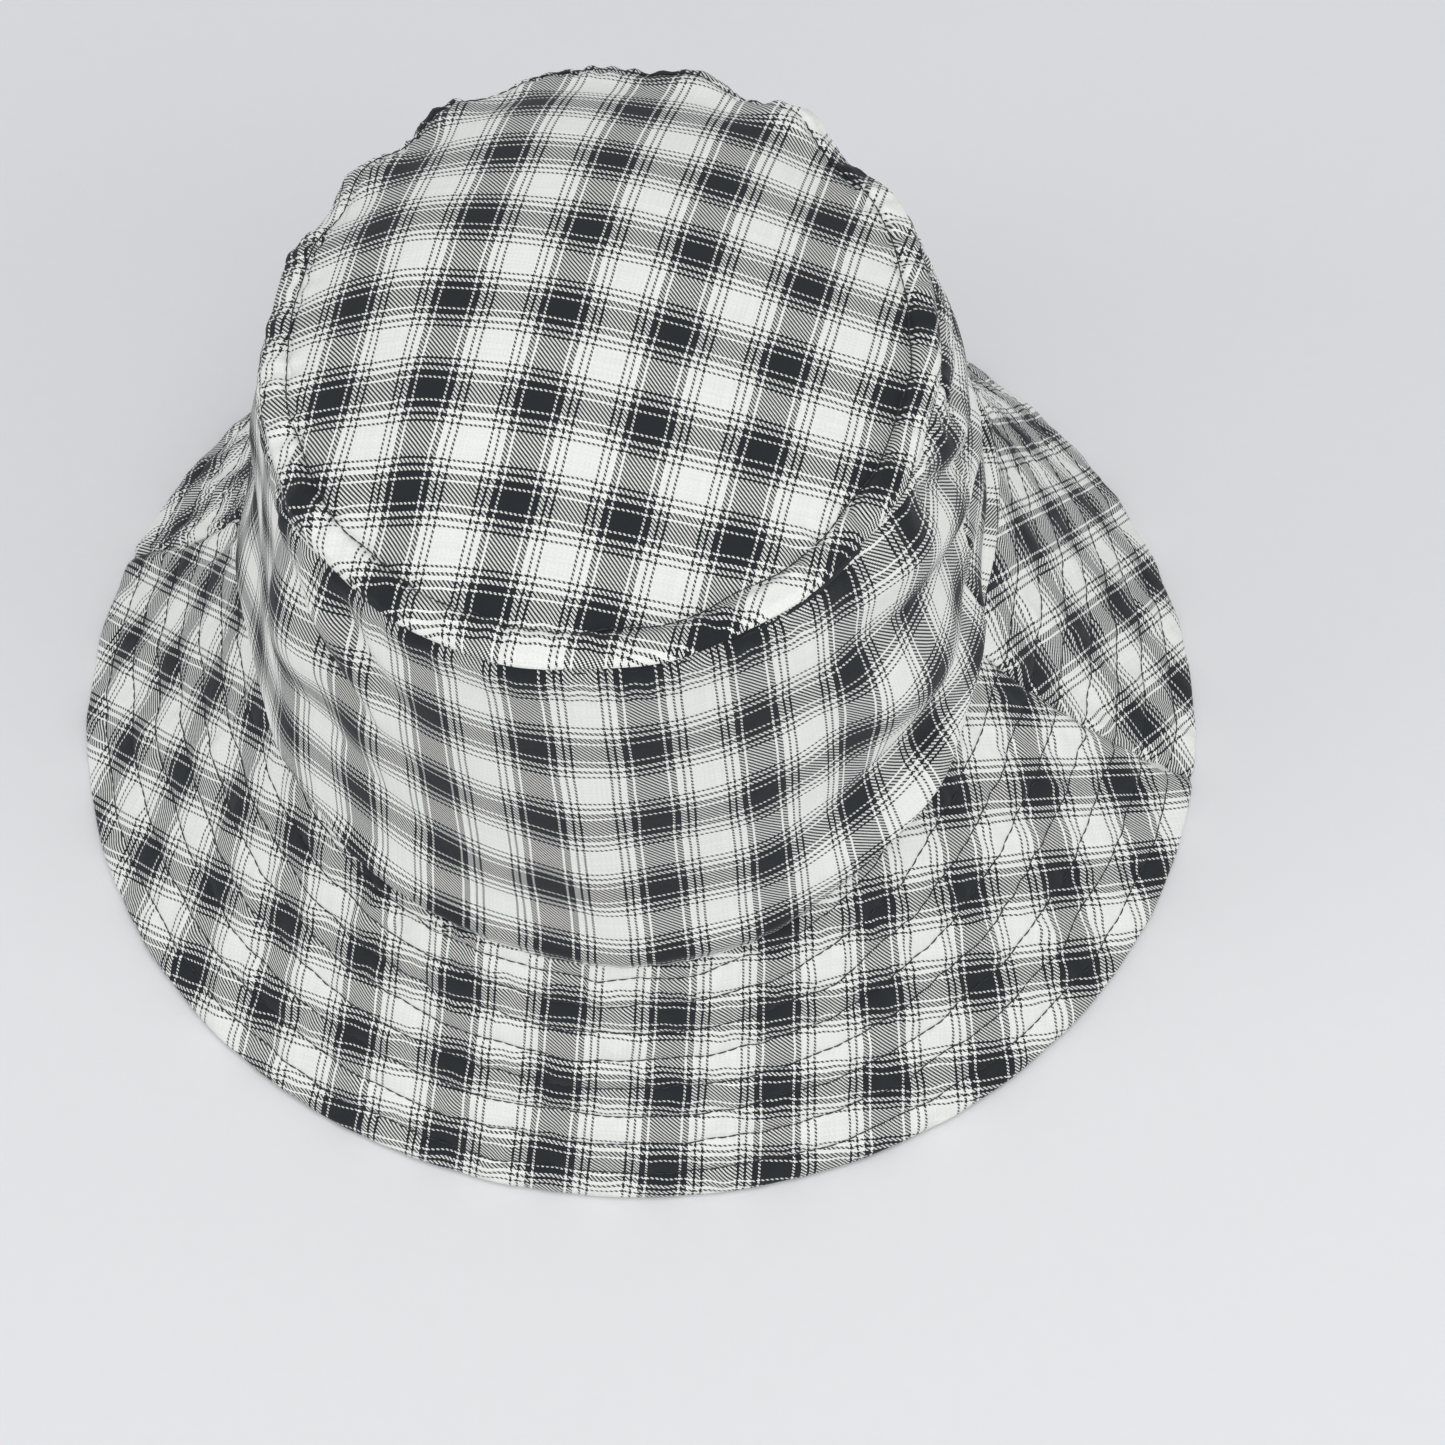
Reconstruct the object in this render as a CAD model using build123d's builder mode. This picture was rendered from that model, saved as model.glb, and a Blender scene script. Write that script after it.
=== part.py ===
from build123d import *
from math import atan2, cos, degrees, radians, sin
import os

# A cotton bucket hat, standing on its brim edge. Front is -Y, up is +Z, millimetres.

# Driving dimensions
EDGE_HALF_WIDTH = 143.0         # brim edge oval
EDGE_HALF_LENGTH = 134.5
SEAM_HALF_WIDTH = 88.5          # seam between crown and brim
SEAM_HALF_LENGTH = 102.0
SEAM_HEIGHT = 70.0
SEAM_SETBACK = 1.5              # the seam oval's centre lies this far behind the edge's
TIP_HALF_WIDTH = 72.0           # oval top panel
TIP_HALF_LENGTH = 90.0
TIP_HEIGHT = 149.5              # seam of the top panel, at its centre
TIP_SHIFT = Vector(-8.0, 5.0, 0.0)
TIP_BACK_DROP = 18.0            # the crown sits lower at the back
TIP_SIDE_RISE = 5.8             # and a little higher on the right
TIP_DOME = 18.0                 # rise of the top panel over its seam
SIDE_SEAM_TURN = -10.0          # degrees: the side seams lie turned from the X axis

# Cloth layers, as distances inward from the outer face of the hat
PLY = 0.8                       # outer cloth
AIR = 0.15                      # gap between two layers
CORE = 0.6                      # interlining and lining
CORE_END = 0.97                 # the interlining stops short of the turned edge
BAND = 1.2                      # sweatband
SEAM_GAP = 0.1                  # half the gap between two panels at a side seam

SWEATBAND_TOP = 0.32            # share of the crown's height
THREAD = 0.4                    # thickness of a stitch line
STITCH_ROWS = 8
FIRST_ROW = 0.06                # share of the brim's width
LAST_ROW = 0.89
TIP_ROW_INSET = 0.09            # share of the top panel's radius

CARE_LABEL = (26.0, 0.5, 28.0)  # width, thickness, hanging length
SIZE_LABEL = (16.0, 0.4, 11.0)
CARE_LABEL_TURN = 90.0          # degrees round the sweatband from the right side to the back
SIZE_LABEL_TURN = 68.0
LABEL_CLEAR = 2.3               # to the sweatband, which curves behind the flat label
HINGE_GAP = 0.4                 # from the label's sewn end to its flap
SEWN_END = 3.0
LABEL_DROP = 4.0                # the labels start this far below the sweatband's top

SEAM_CENTRE = Vector(0, SEAM_SETBACK, SEAM_HEIGHT)
TIP_CENTRE = TIP_SHIFT + Vector(0, 0, TIP_HEIGHT)
LINING_AT = PLY + AIR
BAND_AT = LINING_AT + CORE + 2 * AIR
CORE_AT = PLY + AIR
UNDER_AT = CORE_AT + CORE + AIR


def between(start, end, share):
    """The point or size at a share of the way from start to end."""
    return start + (end - start) * share


def crown_ring(share, inset):
    """Oval round the crown wall, from 0 at the brim seam to 1 at the top panel's seam."""
    across = between(Vector(SEAM_HALF_WIDTH, 0, 0), Vector(TIP_HALF_WIDTH, 0, TIP_SIDE_RISE), share)
    along = between(Vector(0, SEAM_HALF_LENGTH, 0), Vector(0, TIP_HALF_LENGTH, -TIP_BACK_DROP), share)
    plane = Plane(between(SEAM_CENTRE, TIP_CENTRE, share), x_dir=across, z_dir=across.cross(along))
    return plane, across.length - inset, along.length - inset


def brim_ring(share, inset):
    """Level oval on the brim, from 0 at the crown seam to 1 at the edge."""
    plane = Plane(between(SEAM_CENTRE, Vector(0, 0, 0), share))
    width = between(SEAM_HALF_WIDTH, EDGE_HALF_WIDTH, share)
    length = between(SEAM_HALF_LENGTH, EDGE_HALF_LENGTH, share)
    return plane, width - inset, length - inset


def dome_ring(share, inset):
    """Oval on the domed top panel, from 0 at its seam towards 1 at its middle."""
    plane, width, length = crown_ring(1.0, 0.0)
    rise = TIP_DOME * (1 - (1 - share) ** 2) - inset
    return plane.offset(rise), width * (1 - share) - inset, length * (1 - share) - inset


def loft_rings(ring, shares, inset, mode, ruled=True):
    """Loft through the ovals of one wall at the given shares, in the part being built."""
    sections = []
    for share in shares:
        plane, width, length = ring(share, inset)
        with BuildSketch(plane) as oval:
            Ellipse(width, length)
        sections.append(oval.sketch.face())
    loft(sections, ruled=ruled, mode=mode)


def wall(ring, shares, outer, inner):
    """A wall of the hat between two insets, in the part being built."""
    loft_rings(ring, shares, outer, Mode.ADD)
    loft_rings(ring, shares, inner, Mode.SUBTRACT)


def dome(outer, inner):
    """The domed top between two insets, cut off at the seam plane, in the part being built."""
    shares = (0.0, 0.3, 0.65, 0.94)
    loft_rings(dome_ring, shares, outer, Mode.ADD, ruled=False)
    loft_rings(dome_ring, shares, inner, Mode.SUBTRACT, ruled=False)
    split(bisect_by=crown_ring(1.0, 0.0)[0], keep=Keep.TOP)


def keep_half(front):
    """Cut the part being built down to the panel in front of or behind the side seams."""
    seam = Plane.XZ.rotated((0, 0, SIDE_SEAM_TURN))
    if front:
        split(bisect_by=seam.offset(SEAM_GAP), keep=Keep.TOP)
    else:
        split(bisect_by=seam.offset(-SEAM_GAP), keep=Keep.BOTTOM)


def save(piece, name):
    """Label a finished piece and write its STEP file."""
    piece.part.label = name
    export_step(piece.part, f"parts/{name}.step")


os.makedirs("parts", exist_ok=True)
WHOLE = (0.0, 1.0)
HALVES = (("front", True), ("back", False))

# Crown: an oval top panel and a wall of two panels
with BuildPart() as crown_tip:
    dome(0.0, PLY)
save(crown_tip, "crown_tip")

for half, front in HALVES:
    with BuildPart() as crown_side:
        wall(crown_ring, WHOLE, 0.0, PLY)
        keep_half(front)
    save(crown_side, f"crown_side_{half}")

# Lining of the crown, cut like the crown and one layer further in
with BuildPart() as lining_tip:
    dome(LINING_AT, LINING_AT + CORE)
save(lining_tip, "lining_tip")

for half, front in HALVES:
    with BuildPart() as lining_side:
        wall(crown_ring, WHOLE, LINING_AT, LINING_AT + CORE)
        keep_half(front)
    save(lining_side, f"lining_side_{half}")

# Brim: top cloth, interlining and under cloth, each of two panels
for half, front in HALVES:
    with BuildPart() as brim_top:
        wall(brim_ring, WHOLE, 0.0, PLY)
        keep_half(front)
    save(brim_top, f"brim_top_{half}")

    with BuildPart() as brim_interlining:
        wall(brim_ring, (0.0, CORE_END), CORE_AT, CORE_AT + CORE)
        keep_half(front)
    save(brim_interlining, f"brim_interlining_{half}")

    with BuildPart() as brim_under:
        wall(brim_ring, WHOLE, UNDER_AT, UNDER_AT + PLY)
        keep_half(front)
    save(brim_under, f"brim_under_{half}")

# Sweatband round the inside of the crown, on the lining
with BuildPart() as sweatband:
    wall(crown_ring, (0.0, SWEATBAND_TOP), BAND_AT, BAND_AT + BAND)
save(sweatband, "sweatband")

# Stitch lines lie on the cloth: rows round the brim, and one row inside the top panel's seam
for row in range(STITCH_ROWS):
    row_at = between(FIRST_ROW, LAST_ROW, row / (STITCH_ROWS - 1))
    half_thread = THREAD / 2 / SEAM_HEIGHT
    with BuildPart() as brim_stitch_row:
        wall(brim_ring, (row_at - half_thread, row_at + half_thread), -AIR - THREAD, -AIR)
    save(brim_stitch_row, f"brim_stitch_row_{row + 1}")

with BuildPart() as tip_topstitch:
    plane, width, length = dome_ring(TIP_ROW_INSET, 0.0)
    with BuildSketch(plane.offset(AIR * 2)):
        Ellipse(width + THREAD, length + THREAD)
        Ellipse(width, length, mode=Mode.SUBTRACT)
    extrude(amount=THREAD)
save(tip_topstitch, "tip_topstitch")

# Labels at the back of the sweatband. The care label is sewn at its top and swings from there.
def label_place(turn):
    """Where a label hangs: its top middle, with x along the sweatband and y outward."""
    plane, width, length = crown_ring(SWEATBAND_TOP, BAND_AT + BAND)
    x, y = width * cos(radians(turn)), length * sin(radians(turn))
    facing = degrees(atan2(y / length**2, x / width**2)) - 90
    outward = Vector(0, 1, 0).rotate(Axis.Z, facing)
    point = plane.from_local_coords((x, y, 0)) - outward * LABEL_CLEAR
    return Location(point - Vector(0, 0, LABEL_DROP), (0, 0, facing))


care_place = label_place(CARE_LABEL_TURN)
with BuildPart() as care_label:
    with Locations(care_place * Location((0, 0, -CARE_LABEL[2] / 2))):
        Box(*CARE_LABEL)
save(care_label, "care_label")

with BuildPart() as care_label_end:
    with Locations(care_place * Location((0, 0, HINGE_GAP + SEWN_END / 2))):
        Box(CARE_LABEL[0], CARE_LABEL[1], SEWN_END)
save(care_label_end, "care_label_end")

with BuildPart() as size_label:
    with Locations(label_place(SIZE_LABEL_TURN) * Location((0, 0, -SIZE_LABEL[2] / 2))):
        Box(*SIZE_LABEL)
save(size_label, "size_label")

print("care label hinge at", care_place.position)
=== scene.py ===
import math

import bpy
import numpy as np
from mathutils import Matrix, Vector


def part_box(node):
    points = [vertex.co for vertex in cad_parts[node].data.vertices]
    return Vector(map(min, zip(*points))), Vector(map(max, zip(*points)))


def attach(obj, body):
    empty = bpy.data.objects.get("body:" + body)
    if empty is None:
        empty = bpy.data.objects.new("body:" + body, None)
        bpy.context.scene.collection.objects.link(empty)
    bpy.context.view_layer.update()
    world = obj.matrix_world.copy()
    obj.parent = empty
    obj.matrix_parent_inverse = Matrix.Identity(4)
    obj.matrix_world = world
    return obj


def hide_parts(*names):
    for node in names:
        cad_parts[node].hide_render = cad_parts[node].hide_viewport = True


# A checked cotton bucket hat standing on its brim. Front is -Y, up is +Z.
# Places and sizes are in millimetres until a mesh is made. theta is the angle round the hat in
# radians, from its right side (+X) towards the back.

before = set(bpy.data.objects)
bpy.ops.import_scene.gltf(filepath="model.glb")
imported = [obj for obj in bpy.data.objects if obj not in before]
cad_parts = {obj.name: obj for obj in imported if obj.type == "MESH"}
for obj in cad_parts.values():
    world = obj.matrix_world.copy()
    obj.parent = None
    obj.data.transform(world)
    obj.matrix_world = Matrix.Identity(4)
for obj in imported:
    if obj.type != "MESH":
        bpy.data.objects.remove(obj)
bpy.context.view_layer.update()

MM = 0.001
FULL = 2 * math.pi

# The hat's plain shape, the same numbers as the CAD part
EDGE = (143.0, 134.5)           # half width and half length of the brim edge
SEAM = (88.5, 102.0)            # of the seam between crown and brim
SEAM_HEIGHT = 70.0
SEAM_SETBACK = 1.5
TIP = (72.0, 90.0)              # of the top panel
TIP_CENTRE = (-8.0, 5.0, 149.5)
TIP_BACK_DROP = 18.0
TIP_SIDE_RISE = 5.8
TIP_DOME = 18.0
RIGHT_AT = -10.0                # degrees: the side seams
LEFT_AT = 170.0
SIDE_SEAM = math.radians(RIGHT_AT)
LEFT_SEAM = SIDE_SEAM + FULL / 2
HALVES = ("front", "back")      # the panels between the side seams
ROWS = 8                        # stitch lines round the brim
ROW_SHARE = (0.06, 0.89)
TIP_ROW = 0.91                  # topstitching, as a share of the top panel's radius
BAND_TOP = 0.32                 # sweatband, as a share of the crown's height

# How the worn cloth has moved from that shape
TIP_DOME_BACK = 11.0            # the dome is fuller behind
TIP_DOME_RIGHT = -7.5           # and on the left
RIM_TUCK = 1.6                  # the rim is drawn in at the back
RIM_ROLL = 2.4                  # and the top panel rolls over it
RIM_ROLL_AT = 0.89              # as a share of the top panel's radius
RIM_ROLL_SPREAD = 0.065
BACK = (0.3, 0.8)               # sine of theta, from the sides to the back
RIM_OUT = 0.8                   # the rim moves outward and upward by these shares
RIM_UP = 0.6
SEAM_LEAN = (-11.0, 3.0, 11.0)  # the crown's lean over its right side, at the brim seam
SEAM_LEAN_AT = 338.0
SEAM_LEAN_SPREAD = math.radians(42.0)
SEAM_DROP = 0.075               # share of the brim by which the seam lies lower at the front
SEAM_DROP_AT = 264.0
SEAM_DROP_FADE = (math.radians(30), math.radians(75))
WALL_DROP = 0.86                # the same drop as a share of the crown wall
SEAM_DRIFT = (-8.0, -0.5, -8.0)  # degrees the side seams have crept: right, left, left edge
DRIFT_SPREAD = 0.6
BRIM_SAG = (2.2, 4.4)           # at the front, and at the sides and the back

PLY = 0.7                       # outer cloth
LINING_PLY = 0.45
BAND_PLY = 0.9
REPEAT = 25.0                   # one repeat of the check
YARNS = 94                      # yarns in a repeat


def between(a, b, share):
    return a + (b - a) * share


def smooth(x, low, high):
    """0 below low, 1 above high and an S-curve between."""
    t = np.clip((x - low) / (high - low), 0, 1)
    return t * t * (3 - 2 * t)


def turned(theta, degrees):
    """Angle from a direction given in degrees, anticlockwise, between half a turn either way."""
    return (theta - math.radians(degrees) + math.pi) % FULL - math.pi


def near(theta, degrees, spread):
    """1 in a direction given in degrees, fading to both sides over a spread in radians."""
    return np.exp(-(turned(theta, degrees) / spread) ** 2)


def waves(theta, seed, low, high, count=8, other=None, lean=0.0):
    """Random-phase waves round the hat with a spread of about 1; lean slants them along other."""
    rng = np.random.default_rng(seed)
    total = np.zeros(np.shape(theta))
    for _ in range(count):
        number = rng.integers(low, high + 1)
        phase = rng.uniform(0, FULL)
        slant = rng.uniform(-lean, lean)
        total = total + np.sin(number * theta + phase + (0 if other is None else slant * other))
    return total / math.sqrt(count / 2)


def normals(points, wrap):
    """Unit normals of a grid of points; columns run anticlockwise and rows inward or up."""
    if wrap:
        along = np.roll(points, -1, 1) - np.roll(points, 1, 1)
    else:
        along = np.gradient(points, axis=1)
    across = np.gradient(points, axis=0)
    normal = np.cross(along, across)
    return normal / np.maximum(np.linalg.norm(normal, axis=-1, keepdims=True), 1e-9)


# Shape of the crown and the brim

def seam_shift(theta):
    """The crown leans in over its right side, so the seam lies further in and higher there."""
    return near(theta, SEAM_LEAN_AT, SEAM_LEAN_SPREAD)[..., None] * np.array(SEAM_LEAN)


def seam_drop(theta):
    """At the front the seam lies lower, by this share of the brim's width."""
    return SEAM_DROP * (1 - smooth(abs(turned(theta, SEAM_DROP_AT)), *SEAM_DROP_FADE))


def along_brim(theta, share):
    """Place on the whole brim for a share of the brim below the seam."""
    return share + seam_drop(theta) * (1 - share)


def along_crown(theta, share):
    """Place on the crown for a share of the wall above the seam; below 0 at the front."""
    return share - WALL_DROP * seam_drop(theta) * (1 - share)


def plain_crown(theta, at):
    """The CAD crown wall, 0 at the brim seam and 1 at the top panel's seam."""
    width = between(SEAM[0], TIP[0], at)
    length = between(SEAM[1], TIP[1], at)
    x = TIP_CENTRE[0] * at + width * np.cos(theta)
    y = between(SEAM_SETBACK, TIP_CENTRE[1], at) + length * np.sin(theta)
    lean = TIP_SIDE_RISE * np.cos(theta) - TIP_BACK_DROP * np.sin(theta)
    z = between(SEAM_HEIGHT, TIP_CENTRE[2], at) + lean * at
    return np.stack([x, y, z], -1)


def plain_brim(theta, at):
    """The CAD brim, 0 at the crown and 1 at the edge."""
    width = between(SEAM[0], EDGE[0], at)
    length = between(SEAM[1], EDGE[1], at)
    x = width * np.cos(theta)
    y = SEAM_SETBACK * (1 - at) + length * np.sin(theta)
    return np.stack([x, y, SEAM_HEIGHT * (1 - at) + 0 * x], -1)


def crown_point(theta, share):
    """Point on the worn crown wall, share 0 at the brim seam and 1 at the top panel's seam."""
    low = np.clip(1 - share, 0, None)[..., None]
    seam = plain_brim(theta, along_brim(theta, 0)) - plain_crown(theta, along_crown(theta, 0))
    wall = plain_crown(theta, along_crown(theta, share))
    return wall + seam * low**5 + seam_shift(theta) * low**2


def brim_normal(theta):
    """Outward unit normal of the straight brim, the same all the way from the crown to the edge."""
    run = np.hypot((EDGE[0] - SEAM[0]) * np.cos(theta), (EDGE[1] - SEAM[1]) * np.sin(theta))
    normal = np.stack([np.cos(theta) / EDGE[0], np.sin(theta) / EDGE[1]], -1)
    normal = normal / np.linalg.norm(normal, axis=-1, keepdims=True) * SEAM_HEIGHT
    normal = np.concatenate([normal, run[..., None]], -1)
    return normal / np.linalg.norm(normal, axis=-1, keepdims=True)


def brim_sag(theta):
    """How far the brim's slope sags below the straight line from the crown to the edge, in mm."""
    front = np.clip(-np.sin(theta), 0, 1) ** 1.5
    return front * BRIM_SAG[0] + (1 - front) * BRIM_SAG[1]


def brim_point(theta, share):
    """Point on the worn brim, share 0 at the crown and 1 at the edge."""
    points = plain_brim(theta, along_brim(theta, share))
    points = points + seam_shift(theta) * (np.clip(1 - share, 0, None)**1.5)[..., None]
    return points - brim_normal(theta) * (brim_sag(theta) * 4 * share * (1 - share))[..., None]


def crept(theta, share):
    """The worn hat's angle for a point of the pattern; share is negative up the crown."""
    up = np.clip(1 + share, 0, 1)
    right = SEAM_DRIFT[0] * np.where(share < 0, up, np.clip(1 - share, 0, 1))
    left = SEAM_DRIFT[1] * up + SEAM_DRIFT[2] * np.clip(share, 0, 1)
    near_right = near(theta, RIGHT_AT, DRIFT_SPREAD)
    near_left = near(theta, LEFT_AT, DRIFT_SPREAD)
    return theta + np.radians(right * near_right + left * near_left)


TIP_X = np.array([TIP[0], 0, TIP_SIDE_RISE])
TIP_Y = np.array([0, TIP[1], -TIP_BACK_DROP])
TIP_UP = np.cross(TIP_X, TIP_Y) / np.linalg.norm(np.cross(TIP_X, TIP_Y))


def tip_point(theta, radius):
    """Point on the domed top panel, radius 0 at its middle and 1 at its seam."""
    x = radius * np.cos(theta)
    y = radius * np.sin(theta)
    rise = (1 - radius**2) * (TIP_DOME + TIP_DOME_BACK * y + TIP_DOME_RIGHT * x)
    return (np.array(TIP_CENTRE) + x[..., None] * TIP_X + y[..., None] * TIP_Y
            + rise[..., None] * TIP_UP)


def rim_lumps(theta):
    """How far the top panel's rim is pushed in and out where the crown sags, in mm."""
    behind = smooth(np.sin(theta), -0.2, 0.9) * waves(theta, 5, 13, 21, 5)
    return behind + 0.4 * waves(theta, 6, 9, 20, 6) - RIM_TUCK * smooth(np.sin(theta), *BACK)


def rim_push(theta, reach):
    """How points near the rim move with it; reach is 1 at the rim and 0 away from it."""
    radial = np.stack([np.cos(theta), np.sin(theta), 0 * theta], -1)
    return (rim_lumps(theta) * reach)[..., None] * (radial * RIM_OUT + TIP_UP * RIM_UP)


def wall_reach(share):
    """How much the rim moves a place on the crown wall."""
    return smooth(share, 0.72, 1.0)


def tip_reach(radius):
    """How much the rim moves a place on the top panel."""
    return smooth(radius, 0.70, 1.0)


def back_roll(theta, radius):
    """At the back the top panel rolls over its seam and hides it, in mm."""
    ring = np.exp(-((radius - RIM_ROLL_AT) / RIM_ROLL_SPREAD) ** 2)
    return RIM_ROLL * smooth(np.sin(theta), *BACK) * ring


# Cloth coordinates: the check's repeats along and across the grain. A dark square is centred
# on every whole number.

# the angle at each wall panel's middle, and the cloth coordinates there
CROWN_PANELS = {"front": (4.580, (0.179, 0.951)), "back": (1.45, (0.62, 0.33))}
CROWN_MIDDLE = (81.5, 97.0)     # half width and half length of the wall, half way up
CROWN_CURVE = 1 / 0.0011        # radius the wall panels are cut to
CROWN_HEIGHT = 101.4            # along the cloth
CROWN_EASE = 1.041              # the wall is longer round than its seams
# ring is the radius a brim panel is cut to; stretch is how the worn cloth has given, as powers of
# the way round and across with their size in mm
BRIM_PANELS = {
    "front": {"middle": 4.588, "ring": 183.3, "width": 83.5, "offset": (0.146, 0.762), "stretch": (
        ((2, 0, -11.6), (1, 1, -14.2), (3, 0, 3.4), (2, 1, -5.3), (1, 2, -2.8)),
        ((1, 0, -1.0), (2, 0, -20.4), (2, 1, 8.3), (3, 0, -6.6), (1, 1, -1.0)))},
    "back": {"middle": 1.241, "ring": 146.9, "width": 78.8, "offset": (0.128, 0.565), "stretch": (
        ((2, 0, -12.2), (1, 1, -3.9)),
        ((1, 0, -3.6),))}}
BRIM_MIDDLE = (115.75, 118.25)  # half width and half length of the brim, half way out
BRIM_EASE = 0.977
BEND_UNIT = 200                 # mm round the brim to a bend of 1
TIP_TURN = math.radians(12.1)   # the grain of the top panel is turned clockwise
TIP_SCALE = (0.929, 0.932)      # of the check, along and across the grain
TIP_OFFSET = (0.148, 0.588)
TIP_SKEW = 0.165 / 6400         # repeats for each square mm


def oval_arc(theta, start, half):
    """Arc length round an oval from start to theta, in mm."""
    steps = np.linspace(-FULL, 2 * FULL, 6001)
    speed = np.hypot(half[0] * np.sin(steps), half[1] * np.cos(steps))
    length = np.concatenate([[0], np.cumsum((speed[1:] + speed[:-1]) / 2 * np.diff(steps))])
    return np.interp(theta, steps, length) - np.interp(start, steps, length)


def crown_cloth(theta, share, panel):
    """The wall panels are strips cut a little curved."""
    middle, offset = panel
    arc = oval_arc(theta, middle, CROWN_MIDDLE) * CROWN_EASE
    radius = CROWN_CURVE + (0.5 - along_crown(theta, share)) * CROWN_HEIGHT
    u = radius * np.sin(arc / CROWN_CURVE) / REPEAT + offset[0]
    v = (radius * np.cos(arc / CROWN_CURVE) - CROWN_CURVE) / REPEAT + offset[1]
    return np.stack([u, v], -1)


def brim_cloth(theta, share, panel):
    """The brim panels are cut as part of a ring, and the bias stretches a little."""
    out = along_brim(theta, share) - 0.5
    arc = oval_arc(theta, panel["middle"], BRIM_MIDDLE) * BRIM_EASE
    radius = panel["ring"] + out * panel["width"]
    bend = arc / BEND_UNIT
    x = radius * np.sin(arc / panel["ring"])
    y = radius * np.cos(arc / panel["ring"]) - panel["ring"]
    for power, side, amount in panel["stretch"][0]:
        x = x + amount * bend**power * out**side
    for power, side, amount in panel["stretch"][1]:
        y = y + amount * bend**power * out**side
    return np.stack([x / REPEAT + panel["offset"][0], y / REPEAT + panel["offset"][1]], -1)


def tip_cloth(theta, radius):
    """The top panel is cut flat, with its grain turned."""
    x = radius * np.cos(theta) * np.linalg.norm(TIP_X)
    y = radius * np.sin(theta) * np.linalg.norm(TIP_Y)
    along = x * math.cos(TIP_TURN) - y * math.sin(TIP_TURN)
    across = -x * math.sin(TIP_TURN) - y * math.cos(TIP_TURN)
    u = along / (REPEAT * TIP_SCALE[0]) + TIP_OFFSET[0] + TIP_SKEW * along * across
    v = across / (REPEAT * TIP_SCALE[1]) + TIP_OFFSET[1]
    return np.stack([u, v], -1)


# Meshes

def to_object(name, vertices, faces, uvs=None, materials=()):
    mesh = bpy.data.meshes.new(name)
    mesh.from_pydata((np.asarray(vertices) * MM).tolist(), [], [list(face) for face in faces])
    if uvs is not None:
        layer = mesh.uv_layers.new(name="UVMap")
        corners = np.zeros(len(mesh.loops), dtype=np.int32)
        mesh.loops.foreach_get("vertex_index", corners)
        layer.data.foreach_set("uv", np.asarray(uvs, np.float32)[corners].ravel())
    for material in materials:
        mesh.materials.append(material)
    mesh.polygons.foreach_set("use_smooth", np.ones(len(mesh.polygons), bool))
    mesh.update()
    obj = bpy.data.objects.new(name, mesh)
    bpy.context.scene.collection.objects.link(obj)
    return obj


def grid_faces(rows, columns, wrap, start=0, flip=False):
    """Quads of a grid whose vertices are numbered row by row."""
    r = np.arange(rows - 1)[:, None]
    c = np.arange(columns if wrap else columns - 1)[None, :]
    n = (c + 1) % columns
    quads = np.stack([r * columns + c, r * columns + n,
                      (r + 1) * columns + n, (r + 1) * columns + c], -1)
    quads = quads.reshape(-1, 4) + start
    return quads[:, ::-1] if flip else quads


def shell(name, points, uvs, thickness, material, wrap=False):
    """A sheet of cloth with its outer face on the grid of points and its inner face inside it."""
    rows, columns = points.shape[:2]
    inner = points - normals(points, wrap) * thickness
    vertices = np.concatenate([points.reshape(-1, 3), inner.reshape(-1, 3)])
    count = rows * columns
    faces = [grid_faces(rows, columns, wrap), grid_faces(rows, columns, wrap, count, True)]
    first = np.arange(columns)
    last = first + (rows - 1) * columns
    rims = [(first, True), (last, False)]
    if not wrap:
        side = np.arange(rows) * columns
        rims += [(side, False), (side + columns - 1, True)]
    for line, flip in rims:
        a, b = (line, np.roll(line, -1)) if wrap else (line[:-1], line[1:])
        quad = np.stack([a, b, b + count, a + count], -1)
        faces.append(quad[:, ::-1] if flip else quad)
    uvs = np.concatenate([uvs.reshape(-1, 2)] * 2)
    return to_object(name, vertices, np.concatenate(faces), uvs, [material])


def domed_shell(name, theta, radius, points, thickness, material):
    """The top panel's shell, closed in the middle."""
    rows, columns = points.shape[:2]
    inner = points - normals(points, True) * thickness
    inner[-1] = points[-1] - TIP_UP * thickness
    uvs = tip_cloth(theta, radius)
    vertices = np.concatenate([points.reshape(-1, 3), inner.reshape(-1, 3),
                               points[-1].mean(0)[None], inner[-1].mean(0)[None]])
    uvs = np.concatenate([uvs.reshape(-1, 2)] * 2 + [uvs[-1].mean(0)[None]] * 2)
    count = rows * columns
    line = np.arange(columns)
    after = np.roll(line, -1)
    rim = np.stack([line, after, after + count, line + count], -1)[:, ::-1]
    faces = np.concatenate([grid_faces(rows, columns, True),
                            grid_faces(rows, columns, True, count, True), rim]).tolist()
    last = line + (rows - 1) * columns
    for a, b in zip(last.tolist(), np.roll(last, -1).tolist()):
        faces.append([a, b, 2 * count])
        faces.append([b + count, a + count, 2 * count + 1])
    return to_object(name, vertices, faces, uvs, [material])


def closed_grid(columns, levels):
    """theta and level grids whose columns start at the left side seam."""
    return np.meshgrid(LEFT_SEAM + np.arange(columns) / columns * FULL, levels)


def half_columns(columns, half):
    """The columns of one panel, the front or the back, from one side seam to the other."""
    start = 0 if half == "front" else columns // 2
    return (start + np.arange(columns // 2 + 1)) % columns


def half_angles(columns, half):
    """theta at those columns."""
    start = LEFT_SEAM if half == "front" else SIDE_SEAM
    return start + np.arange(columns // 2 + 1) / columns * FULL


def plain_uvs(points):
    """Cloth coordinates for a grid of one plain colour."""
    rows, columns = points.shape[:2]
    return np.stack(np.meshgrid(np.arange(columns) / 10, np.arange(rows) / 10), -1)


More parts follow.
